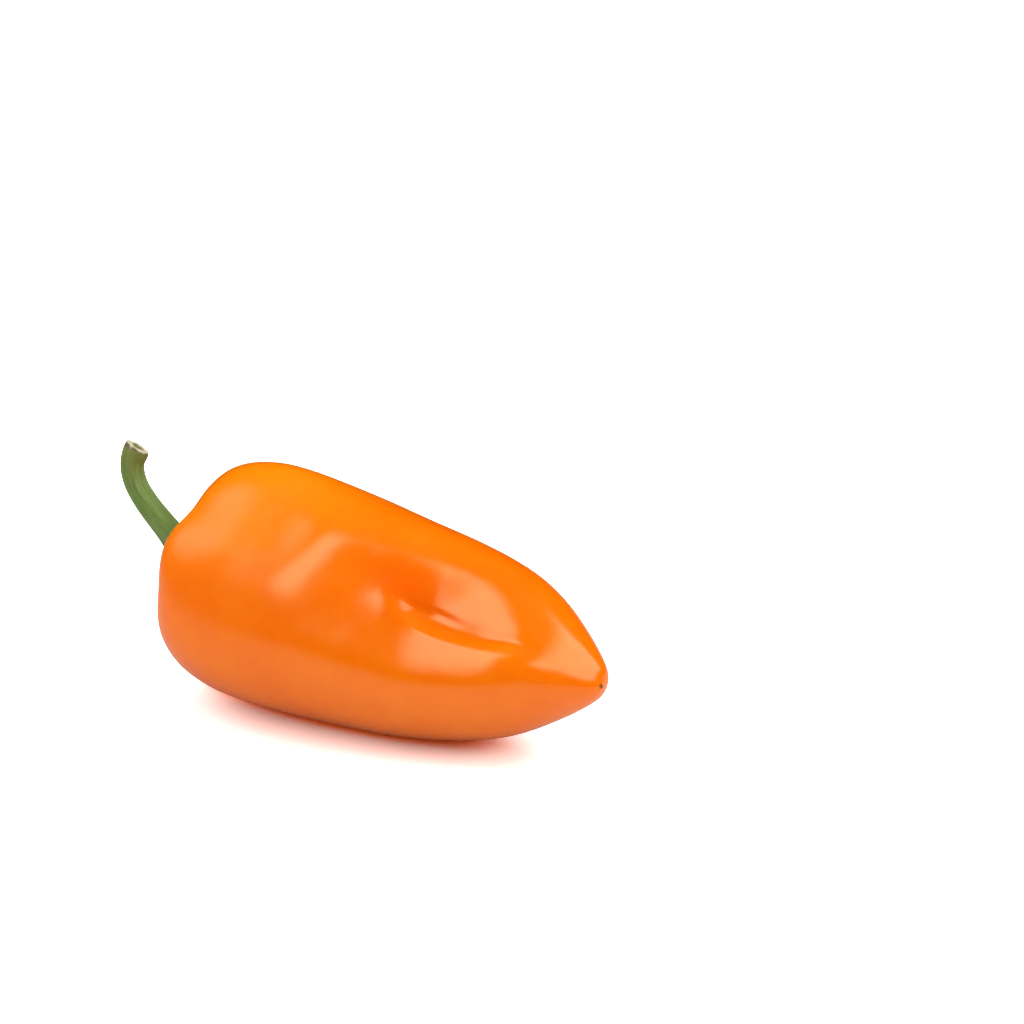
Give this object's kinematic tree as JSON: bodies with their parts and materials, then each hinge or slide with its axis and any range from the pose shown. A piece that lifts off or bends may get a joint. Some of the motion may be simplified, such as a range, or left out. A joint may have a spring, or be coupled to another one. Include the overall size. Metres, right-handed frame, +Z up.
{
  "type": "bell pepper",
  "caption": "Whole small orange bell pepper lying on its side: blunt-tipped lobed fruit with a folded dent, leathery green calyx and curved cut stem.",
  "frame": {"origin": "middle of the footprint, on the surface that the pepper lies on", "axes": "+X along the pepper from stem to tip, +Y towards its back, +Z up"},
  "size_m": [0.1094, 0.047, 0.0485],
  "materials": {
    "skin": "waxy, glossy",
    "calyx": "leathery, satin",
    "stem": "ribbed, satin"
  },
  "bodies": {
    "root": {"fruit": "skin", "calyx": "calyx", "stem": "stem"}
  },
  "joints": []
}
